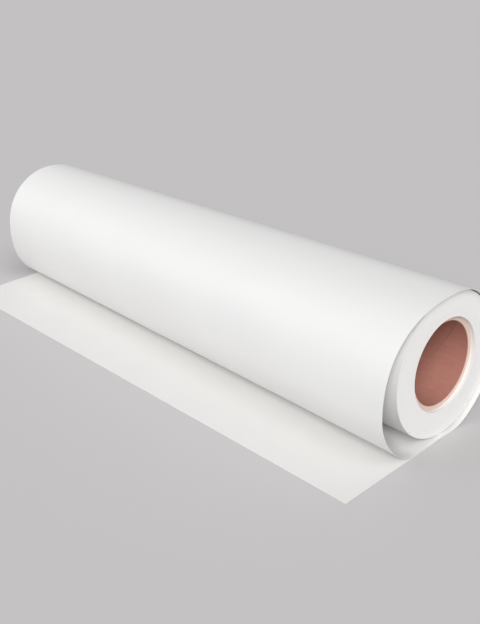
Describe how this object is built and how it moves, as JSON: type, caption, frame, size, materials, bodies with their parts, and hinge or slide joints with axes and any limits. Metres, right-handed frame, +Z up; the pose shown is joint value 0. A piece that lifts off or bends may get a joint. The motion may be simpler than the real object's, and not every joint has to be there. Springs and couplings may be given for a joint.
{
  "type": "roll of sign vinyl",
  "caption": "Roll of self-adhesive sign vinyl on a paperboard core, its loose outer turn bellied out and its free end lying flat under it, liner side up.",
  "frame": {"origin": "middle of the core's bore, on the roll's axis", "axes": "+X along the core's axis to the end where the loose turn stands out most, +Y away from the free end on the floor, +Z up"},
  "size_m": [0.6147, 0.2014, 0.1352],
  "materials": {
    "vinyl_film": "satin white calendered film",
    "liner_paper": "smooth silicone-coated paper",
    "wound_web": "pressed web edges",
    "core_board": "matt brown paperboard",
    "masking_tape": "crepe tape"
  },
  "bodies": {
    "web": {"film": "vinyl_film", "liner": "liner_paper"},
    "roll": {"core_ply_1": "core_board", "core_ply_2": "core_board", "core_ply_3": "core_board", "core_ply_4": "core_board", "core_ply_5": "core_board", "core_ply_6": "core_board", "core_ply_7": "core_board", "core_ply_8": "core_board", "start_tape": "masking_tape", "wound_turns": "wound_web"}
  },
  "joints": [
    {"name": "roll_turn", "type": "hinge", "parent": "web", "child": "roll", "pos_m": [0, 0, 0], "axis": [1, 0, 0], "continuous": true}
  ]
}
